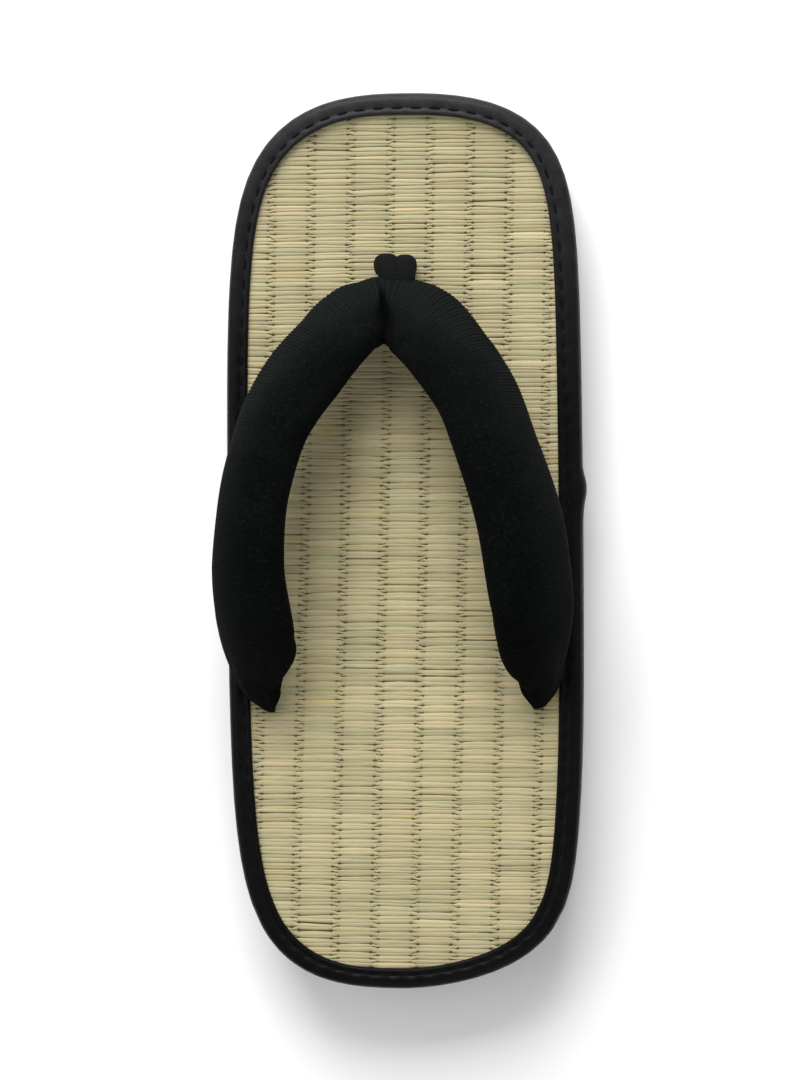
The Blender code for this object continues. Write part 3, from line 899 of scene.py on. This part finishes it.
middle = max(range(len(sections)), key=lambda index: sections[index][0][1])
for order in (range(middle, -1, -1), range(middle, len(sections))):
    before = np.array([0.0, 1.0, 0.0])
    for index in order:
        centre, broad, high = sections[index]
        wide, thin = np.linalg.norm(broad), np.linalg.norm(high)
        run = unit(sections[min(index + 1, len(sections) - 1)][0] - sections[max(index - 1, 0)][0])
        if wide < ROUND_ENOUGH * thin:
            broad = unit(before - run * np.dot(before, run)) * wide
        if np.dot(broad, before) < 0:
            broad = -broad
        sections[index] = [centre, broad, unit(np.cross(run, broad)) * thin]
        before = broad / wide
table = np.array([np.concatenate(section) for section in sections])
print(f"strap: its apex lies {table[middle, 2] / MM:.1f} mm over the floor")

# %% A sleeve on finer sections
STRAP_ROWS = 170
STRAP_SIDES = 30
GIRTH = 62 * MM
# turns from the outer side to the seam of the pattern map, which lies underneath
SEAM_TURN = 0.25
SHRINK = 0.5 * MM

fine, STRAP_LENGTH = even_steps(curve_through(table, closed=False), STRAP_ROWS, closed=False)
centres, broads, highs = fine[:, :3], fine[:, 3:6], fine[:, 6:9]
strap, side, row = sleeve(STRAP_SIDES, STRAP_ROWS)
angle = side / STRAP_SIDES * math.tau
smaller_broad = broads * (1 - SHRINK / np.linalg.norm(broads, axis=1))[:, None]
smaller_high = highs * (1 - SHRINK / np.linalg.norm(highs, axis=1))[:, None]
start = centres[row] + smaller_broad[row] * np.cos(angle)[:, None]
start += smaller_high[row] * np.sin(angle)[:, None]
move_to(strap, start)
face_outward(strap)
gone = row / (STRAP_ROWS - 1) * STRAP_LENGTH
lay_out(strap, "cloth", (side / STRAP_SIDES + SEAM_TURN) % 1.0 * GIRTH, gone, GIRTH)
strap_data = bpy.data.meshes.new("strap_blank")
strap.to_mesh(strap_data)
strap.free()
along = strap_data.attributes.new("along", "FLOAT", "POINT")
along.data.foreach_set("value", gone.astype(np.float32))
blank = bpy.data.objects.new("strap_blank", strap_data)
bpy.context.scene.collection.objects.link(blank)
print(f"strap: {STRAP_LENGTH / MM:.0f} mm along its middle")

# %% Reading a mesh back
def coordinates(data):
    found = np.empty(len(data.vertices) * 3, np.float32)
    data.vertices.foreach_get("co", found)
    return found.reshape(-1, 3).astype(float)


def applied(piece):
    """The mesh of a piece with its modifiers applied."""
    graph = bpy.context.evaluated_depsgraph_get()
    return bpy.data.meshes.new_from_object(
        piece.evaluated_get(graph), preserve_all_data_layers=True, depsgraph=graph
    )


# %% Stuffing the sleeve
PRESSURE = 4.0
FRAMES = 20
ENLARGED = 16
SWELL_LIMIT = 1.2 * MM
HELD_ENDS = 17 * MM
HELD_APEX = 1.0 * MM

apex_row = int(np.argmax(centres[:, 1]))
APEX_AT = apex_row / (STRAP_ROWS - 1) * STRAP_LENGTH
held = (gone < HELD_ENDS) | (gone > STRAP_LENGTH - HELD_ENDS) | (abs(gone - APEX_AT) < HELD_APEX)
strap_data.vertices.foreach_set("co", (start * ENLARGED).astype(np.float32).ravel())
group = blank.vertex_groups.new(name="held")
group.add([int(index) for index in np.flatnonzero(held)], 1.0, "REPLACE")
cloth = blank.modifiers.new("stuffing", "CLOTH")
cloth.settings.use_pressure = True
cloth.settings.uniform_pressure_force = PRESSURE
cloth.settings.effector_weights.gravity = 0.0
cloth.settings.vertex_group_mass = "held"
cloth.collision_settings.use_collision = False
cloth.point_cache.frame_start, cloth.point_cache.frame_end = 1, FRAMES
for step in range(1, FRAMES + 1):
    bpy.context.scene.frame_set(step)
stuffed = applied(blank)
bpy.context.scene.frame_set(1)
moved = coordinates(stuffed) / ENLARGED - start
distance = np.linalg.norm(moved, axis=1)
print(f"stuffing: swelled {np.median(distance) / MM:.2f} mm, at most {distance.max() / MM:.2f} mm")
moved *= np.minimum(1.0, SWELL_LIMIT / np.maximum(distance, 1e-9))[:, None]
bpy.data.meshes.remove(stuffed)
strap_data.vertices.foreach_set("co", (start + moved).astype(np.float32).ravel())
blank.modifiers.clear()

# %% Finer cloth
LENGTHWISE_CUTS = 3

softer = blank.modifiers.new("softer", "SUBSURF")
softer.levels = softer.render_levels = 1
finer_data = applied(blank)
finer = bmesh.new()
finer.from_mesh(finer_data)
bpy.data.meshes.remove(finer_data)
bpy.data.objects.remove(blank)
along_layer = finer.verts.layers.float["along"]
half_row = 0.25 * STRAP_LENGTH / STRAP_ROWS
lengthwise = [
    edge
    for edge in finer.edges
    if abs(edge.verts[0][along_layer] - edge.verts[1][along_layer]) > half_row
]
bmesh.ops.subdivide_edges(finer, edges=lengthwise, cuts=LENGTHWISE_CUTS, use_grid_fill=True)
finer.normal_update()
print(f"strap: {len(finer.verts)} vertices")

# %% [markdown]
# ### Creases and gathers
# Where the tube bends round the toe, the cloth on its outer side is drawn into fine ribs about
# a millimetre apart that fade towards the middle of the arm, and the fold at the toe is a
# narrow cleft. Towards the holes the cloth is gathered into long pleats. All of them are placed
# by lengths along the strap, and move each point along its normal. The padding is not packed
# evenly, so a table says how much fuller each side of each arm is along its way. Last, every
# vertex keeps its painted light and shade: rib crests, the outer side and the part near the apex
# are painted paler, and the cleft is painted darker.

# %% Where each point lies on the strap
spot = np.array([vert.co for vert in finer.verts])
normal = np.array([vert.normal for vert in finer.verts])
along = np.array([vert[along_layer] for vert in finer.verts])
row_places = np.linspace(0, STRAP_LENGTH, STRAP_ROWS)


def at_rows(values):
    """A value of the finer sections, read where each point lies."""
    return np.stack([np.interp(along, row_places, column) for column in values.T], axis=1)


def share_of(reach):
    """How far out a point lies on one half-width of its section, as a share of it."""
    return np.sum(arm * unit(reach), axis=1) / np.linalg.norm(reach, axis=1)


arm = spot - at_rows(centres)
outer = share_of(at_rows(broads))
above = share_of(at_rows(highs))
angle = np.arctan2(above, outer)
from_apex = np.abs(along - APEX_AT)
from_end = np.minimum(along, STRAP_LENGTH - along)
print(f"strap: {from_apex.max() / MM:.0f} mm from its apex to the longer arm's end")

# %% Ribs round the bend
RIB_PITCH = 0.95 * MM
RIB_DEPTH = 0.22 * MM
RIB_REACH = 62 * MM
RIB_FADE = 0.55
# shares of the half-width: where ribs start at the apex, how far out that moves, and their rise
RIB_START = -0.45
RIB_NARROWING = 0.55
RIB_RISE = 0.7


def wave(length, turns=0.0, shift=0.0):
    """A wave along the strap, length over two pi, that may wind round it."""
    return np.sin(along / length + turns * angle + shift)


rib_wander = 0.35 * wave(7 * MM, turns=3.0) + 0.5 * wave(4.3 * MM)
ribs = np.sin(along / RIB_PITCH * math.tau + rib_wander)
rib_start = RIB_START + RIB_NARROWING * smooth_step(from_apex, 4 * MM, 0.7 * RIB_REACH)
rib_mask = smooth_step(outer, rib_start, rib_start + RIB_RISE)
rib_mask *= 1 - smooth_step(from_apex, RIB_FADE * RIB_REACH, RIB_REACH)
rib_mask *= 0.65 + 0.35 * wave(5.1 * MM, shift=1.3 * wave(3.7 * MM))
push = RIB_DEPTH * ribs * rib_mask
print(f"strap: about {2 * RIB_REACH / RIB_PITCH:.0f} ribs")

# %% Pleats towards the ends, and slack cloth
PLEATS = 7
PLEAT_DEPTH = 0.35 * MM
# from an end: where pleats start, are full, begin to fade and are gone
PLEATED = (10 * MM, 16 * MM, 18 * MM, 38 * MM)
SAG_DEPTH = 0.16 * MM


def between(value, start, full, fading, end):
    """1 from full to fading, 0 outside start and end, and soft in between."""
    return smooth_step(value, start, full) * (1 - smooth_step(value, fading, end))


pleats = np.sin(PLEATS * angle + 1.2 * wave(9 * MM))
push += PLEAT_DEPTH * pleats * between(from_end, *PLEATED)
push += SAG_DEPTH * wave(13 * MM, turns=2) * wave(7.7 * MM, turns=-1)
print(f"strap: creases up to {np.abs(push).max() / MM:.2f} mm deep")

# %% The cleft at the toe
CLEFT_DEPTH = 1.5 * MM
CLEFT_WIDTH = 0.8 * MM
CLEFT_FADE = (7 * MM, 13 * MM)
CLEFT_TAPER = 0.75
# nothing is pressed in before the first of these places from an end
ENDS_STILL = (9.5 * MM, 13 * MM)

apex_run = unit(centres[apex_row + 1] - centres[apex_row - 1])
in_fold = (1 - 0.8 * smooth_step(outer, 0.1, 0.7)) * (1 - 0.7 * smooth_step(-outer, 0.3, 1.0))
in_fold *= 1 - smooth_step(from_apex, *CLEFT_FADE)
from_fold = np.abs((spot - centres[apex_row]) @ apex_run)
from_fold /= 1 - CLEFT_TAPER * smooth_step(outer, -0.4, 0.6)
push -= CLEFT_DEPTH * np.exp(-((from_fold / CLEFT_WIDTH) ** 2)) * in_fold
push *= smooth_step(from_end, *ENDS_STILL)
print(f"strap: the cleft is pressed {-push.min() / MM:.1f} mm in")

# %% How full each side is
# all in mm: way from the apex, and how much fuller the lateral arm's outer and inner side and
# the medial arm's outer and inner side are there
FULLNESS = (
    (0, 1.7, 0.3, 1.7, 0.3),
    (12, 2.0, 1.3, 1.7, 2.2),
    (22, 2.4, 1.5, 1.3, 1.9),
    (32, 3.0, 2.0, 1.7, 0.9),
    (42, 2.6, 1.4, 1.6, 0.1),
    (52, 2.2, 0.7, 1.5, 0.3),
    (66, 2.4, 0.3, 2.1, 0.2),
    (80, 2.9, -0.3, 2.5, 0.2),
    (95, 3.2, -0.1, 2.4, 0.4),
    (104, 3.0, 0.9, 2.3, 0.3),
    (112, 2.9, 1.8, 2.1, 0.1),
    (118, 2.6, 1.8, 1.9, 0.1),
    (124, 2.2, 0.3, 1.8, 0.0),
    (135, 1.1, -0.5, 1.7, -0.1),
    (145, 0.8, -1.7, 1.5, -0.7),
    (155, 0.0, -1.8, 1.0, -0.3),
    (168, 0.0, 0.0, 0.0, 0.0),
)

SIDE_REACH = 0.9
# the lateral tip lies this much farther towards the heel, between these places from its end
TIP_REACH = 1.3 * MM
TIP_PLACE = (6 * MM, 10 * MM, 14 * MM, 34 * MM)

fullness = curve_through(np.array(FULLNESS) * MM, closed=False)
lateral_out, lateral_in, medial_out, medial_in = (
    np.interp(from_apex, fullness[:, 0], column) for column in fullness[:, 1:].T
)
medial = along > APEX_AT
fuller = np.where(medial, medial_out, lateral_out) * smooth_step(outer, 0.0, SIDE_REACH)
fuller -= np.where(medial, medial_in, lateral_in) * smooth_step(-outer, 0.0, SIDE_REACH)
moved = spot + normal * push[:, None] + unit(at_rows(broads)) * fuller[:, None]
moved[:, 1] -= np.where(medial, 0.0, TIP_REACH) * between(from_end, *TIP_PLACE)
move_to(finer, moved)
print(f"strap: {fuller.max() / MM:.1f} mm fuller at most")

# %% Painted light and shade at each point
CLEFT_SHADE = 2.0 * MM
CLEFT_DARKENING = 1.2

# painted light on rib crests, on the outer side and near the apex, and painted shade in the cleft
painted_light_and_shade = (0.6 + 0.8 * ribs) * rib_mask + 0.34 * smooth_step(outer, -0.6, 0.8)
painted_light_and_shade += 0.25 * (1 - smooth_step(from_apex, 8 * MM, 60 * MM)) - 0.32
painted_light_and_shade -= CLEFT_DARKENING * np.exp(-((from_fold / CLEFT_SHADE) ** 2)) * in_fold
painted_lighting_layer = finer.verts.layers.float.new("crest")
for vert, value in zip(finer.verts, painted_light_and_shade):
    vert[painted_lighting_layer] = value
print(f"strap: painted_shading from {painted_light_and_shade.min():.2f} to {painted_light_and_shade.max():.2f}")

# %% [markdown]
# ### Black cloth
# The cloth is a fine rib weave. Its pattern follows the piece's own UV map, laid out in metres,
# so the ribs run round the tube however it bends. A little sheen stands for the fibre ends
# that catch the light.

# %% Cloth finish
YARN = 0.62 * MM
YARN_ACROSS = 0.8 * YARN

cloth_finish = Finish(
    "black_cloth", Roughness=0.9, Specular_IOR_Level=0.03, Sheen_Weight=0.008, Sheen_Roughness=0.45
)
cloth_map = cloth_finish.node("ShaderNodeUVMap", {"uv_map": "cloth"})
across_map, along_map, _ = cloth_finish.apart(cloth_map)
here = cloth_finish.place()
drift = cloth_finish.noise(here, 300.0, 2.0)
warp = cloth_finish.math("SINE", along_map * (math.tau / YARN) + drift * 3.0) * 0.5 + 0.5
weft = cloth_finish.math("SINE", across_map * (math.tau / YARN_ACROSS) + drift * 2.0) * 0.5 + 0.5
fuzz = cloth_finish.noise(here, 2600.0, 3.0, 0.7)
height = warp * 0.55 + weft * warp * 0.3 + fuzz * 0.35
patches = cloth_finish.noise(here, 75.0, 3.0)
flecks = cloth_finish.stretch(cloth_finish.noise(here, 1100.0, 3.0, 0.7), 0.50, 0.72)
# the painted light and shade that each vertex carries
crest = cloth_finish.carried("crest", "Fac")
value = height * 0.20 + patches * 0.50 + flecks * 0.60 + crest * 0.95
cloth_finish.paint(
    Base_Color=cloth_finish.mix(value, (0.0011, 0.0015, 0.0013, 1), (0.0072, 0.0092, 0.0084, 1)),
    Roughness=cloth_finish.stretch(fuzz, 0.3, 0.7, 0.82, 0.95),
    Normal=cloth_finish.bump(height, 0.10 * MM),
)
strap_piece = hand_over(finer, "strap_cloth", cloth_finish, ("strap",), outward=False)

# %% [markdown]
# ## The toe cord
# A short loop of the same cloth comes up between the toes and holds the strap's fold. Folded
# double, it shows two rounded lobes with a cleft between them. Each lobe is a sleeve on a
# short bent line that starts in the hole and dives under the strap.

# %% The lines of two lobes
HOLE_X = -1.8 * MM
HOLE_Y = TOE_TIP - 51.5 * MM
# all in mm: x and y from the middle of the hole, height over the mat, and two half-widths
LATERAL_LOBE = (
    (-1.7, -0.4, -9.0, 2.6, 2.7),
    (-1.7, -0.2, -2.0, 2.6, 2.7),
    (-2.2, 0.0, 0.6, 3.0, 3.0),
    (-2.8, 0.2, 3.2, 3.7, 3.3),
    (-2.9, 0.1, 6.0, 3.8, 3.4),
    (-2.5, -0.8, 8.6, 3.5, 3.2),
    (-1.7, -2.7, 10.4, 3.1, 2.8),
    (-1.0, -5.4, 11.3, 2.9, 2.1),
    (-0.9, -8.0, 11.2, 2.6, 1.6),
)
MEDIAL_LOBE = (
    (1.9, -0.4, -9.0, 2.6, 2.7),
    (1.9, -0.2, -2.0, 2.6, 2.7),
    (2.3, 0.0, 0.6, 2.9, 3.0),
    (2.5, 0.1, 3.2, 3.3, 3.2),
    (2.5, -0.1, 6.0, 3.4, 3.3),
    (2.6, -0.9, 8.6, 3.3, 3.1),
    (2.7, -2.9, 10.3, 3.2, 2.7),
    (2.8, -5.5, 11.2, 3.0, 2.0),
    (2.8, -8.0, 11.1, 2.7, 1.6),
)
print(f"toe cord: its hole lies {(TOE_TIP - HOLE_Y) / MM:.1f} mm behind the toe")

# %% A lobe of cloth
SQUARENESS = 0.8
LOBE_SIDES = 28
LOBE_ROWS = 60
LOBE_GIRTH = 18 * MM
WRINKLE = 0.022
WRINKLE_PITCH = 1.3 * MM


def squared(turned):
    """A sine or cosine that stays near its ends for longer, for a squarer section."""
    return np.sign(turned) * np.abs(turned) ** SQUARENESS


def lobe(rows):
    """One padded lobe with soft cross wrinkles."""
    points = np.array(rows) * MM
    line, length = even_steps(curve_through(points, closed=False), LOBE_ROWS, closed=False)
    run = unit(np.gradient(line[:, :3], axis=0))
    wide = unit(np.array([1.0, 0.0, 0.0]) - run * run[:, :1])
    deep = np.cross(run, wide)
    mesh, side, row = sleeve(LOBE_SIDES, LOBE_ROWS)
    angle = side / LOBE_SIDES * math.tau
    gone = row / (LOBE_ROWS - 1) * length
    wrinkle = 1 + WRINKLE * np.sin(gone / WRINKLE_PITCH * math.tau + 2 * np.sin(angle * 2))
    out = wide[row] * (squared(np.cos(angle)) * line[row, 3] * wrinkle)[:, None]
    out += deep[row] * (squared(np.sin(angle)) * line[row, 4] * wrinkle)[:, None]
    base = np.array([HOLE_X, HOLE_Y, footbed(HOLE_Y)])
    move_to(mesh, base + line[row, :3] + out)
    lay_out(mesh, "cloth", side / LOBE_SIDES * LOBE_GIRTH, gone, LOBE_GIRTH)
    return mesh


# %% Cord finish, and both lobes
CORD_YARN = 0.55 * MM

cord_finish = Finish("cord_cloth", Roughness=0.9, Specular_IOR_Level=0.05, Sheen_Weight=0.01)
cord_map = cord_finish.node("ShaderNodeUVMap", {"uv_map": "cloth"})
across_map, along_map, _ = cord_finish.apart(cord_map)
here = cord_finish.place()
warp = cord_finish.math("SINE", along_map * (math.tau / CORD_YARN)) * 0.5 + 0.5
weft = cord_finish.math("SINE", across_map * (math.tau / CORD_YARN)) * 0.5 + 0.5
fuzz = cord_finish.noise(here, 2600.0, 3.0, 0.7)
height = warp * 0.5 + weft * warp * 0.3 + fuzz * 0.35
cord_finish.paint(
    Base_Color=cord_finish.mix(height, (0.0024, 0.0027, 0.0026, 1), (0.0085, 0.0094, 0.0091, 1)),
    Normal=cord_finish.bump(height, 0.09 * MM),
)
both = lobe(LATERAL_LOBE)
face_outward(both)
added(both, lobe(MEDIAL_LOBE))
hand_over(both, "toe_cord_cloth", cord_finish, ("toe_cord",), outward=False)

# %% [markdown]
# ## The foam sole
# The sole's solid already has its true shape, with grooves round its side and across its
# tread, so it stays and gets the finish of moulded foam rubber: tiny pits, a faint skin gloss
# and a cloudy, speckled grey.

# %% Foam finish
foam_finish = Finish("foam_rubber", Roughness=0.8, Specular_IOR_Level=0.3)
here = foam_finish.place()
pits = foam_finish.node("ShaderNodeTexVoronoi", None, {"Vector": here, "Scale": 1500.0})
cloudy = foam_finish.noise(here, 60.0, 4.0)
speck = foam_finish.noise(here, 2400.0, 3.0, 0.7)
foam_finish.paint(
    Base_Color=foam_finish.mix(cloudy * 0.7 + speck * 0.3, grey(0.012), grey(0.030)),
    Roughness=foam_finish.stretch(cloudy, 0.3, 0.7, 0.70, 0.88),
    Normal=foam_finish.bump(pits + speck * 0.5, 0.07 * MM),
)
sole_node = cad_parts["sole"]
sole_node.data.materials.clear()
sole_node.data.materials.append(foam_finish.material)
print(f"sole: {len(sole_node.data.polygons)} triangles, as packed")
